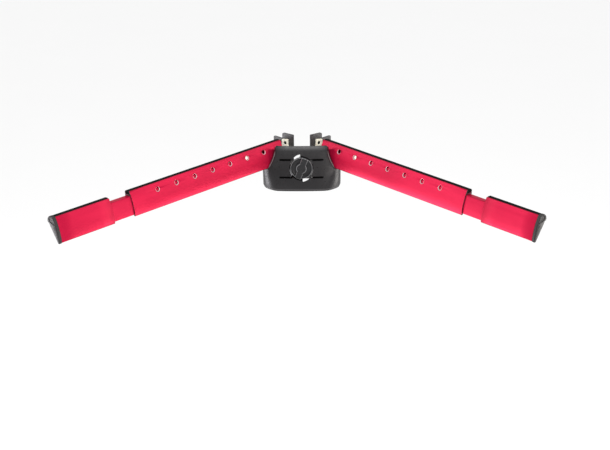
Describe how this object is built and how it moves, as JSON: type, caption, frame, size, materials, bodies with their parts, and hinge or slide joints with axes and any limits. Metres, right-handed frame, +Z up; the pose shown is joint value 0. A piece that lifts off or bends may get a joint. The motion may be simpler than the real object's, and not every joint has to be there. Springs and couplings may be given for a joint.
{
  "type": "keyboard stand tier",
  "caption": "Moulded column bracket with a clamp knob, carrying a V of rubber-topped telescoping aluminium blade arms for an instrument.",
  "frame": {"origin": "middle of the flat seat that bears on the stand's column", "axes": "+Z up, +Y from the seat into the column, +X across both arms; the arms reach forward along -Y"},
  "size_m": [0.667, 0.4047, 0.075],
  "materials": {
    "red_anodised": "satin red anodised extrusion",
    "black_rubber": "matt black rubber",
    "grey_plastic": "dark grey moulded plastic, fine grain",
    "cap_plastic": "dark grey moulded plastic",
    "knob_plastic": "near-black moulded plastic",
    "cream_nylon": "cream nylon",
    "zinc_steel": "zinc-plated steel",
    "black_steel": "blackened steel"
  },
  "bodies": {
    "bracket": {"front_shell": "grey_plastic", "rear_saddle": "grey_plastic", "shell_screw_upper_left": "zinc_steel", "shell_screw_upper_right": "zinc_steel", "shell_screw_lower_left": "zinc_steel", "shell_screw_lower_right": "zinc_steel", "outer_tube_left": "red_anodised", "outer_strip_left": "black_rubber", "root_block_left": "cream_nylon", "root_screw_left": "black_steel", "outer_tube_right": "red_anodised", "outer_strip_right": "black_rubber", "root_block_right": "cream_nylon", "root_screw_right": "black_steel"},
    "left_arm_slide": {"inner_slide_left": "red_anodised", "slide_guide_left": "cream_nylon", "end_section_left": "red_anodised", "end_strip_left": "black_rubber", "end_cap_left": "cap_plastic"},
    "right_arm_slide": {"inner_slide_right": "red_anodised", "slide_guide_right": "cream_nylon", "end_section_right": "red_anodised", "end_strip_right": "black_rubber", "end_cap_right": "cap_plastic"},
    "clamp_knob": {"knob": "knob_plastic", "clamp_stud": "zinc_steel", "stud_washer": "zinc_steel"},
    "clamp_bar_body": {"clamp_bar": "zinc_steel"}
  },
  "joints": [
    {"name": "left_slide", "type": "slide", "parent": "bracket", "child": "left_arm_slide", "axis": [-0.6274, -0.7787, 0], "range_m": [-0.0378, 0.0762]},
    {"name": "right_slide", "type": "slide", "parent": "bracket", "child": "right_arm_slide", "axis": [0.6274, -0.7787, 0], "range_m": [-0.0378, 0.0762]},
    {"name": "knob_turn", "type": "hinge", "parent": "bracket", "child": "clamp_knob", "pos_m": [0, -0.048, 0.0224], "axis": [0, -1, 0], "range_deg": [0, 1080]},
    {"name": "clamp_travel", "type": "slide", "parent": "bracket", "child": "clamp_bar_body", "axis": [0, 1, 0], "range_m": [0, 0.0036]}
  ],
  "couplings": [
    {"joint": "clamp_travel", "follows": "knob_turn", "m_per_rad": 0.00015915}
  ]
}
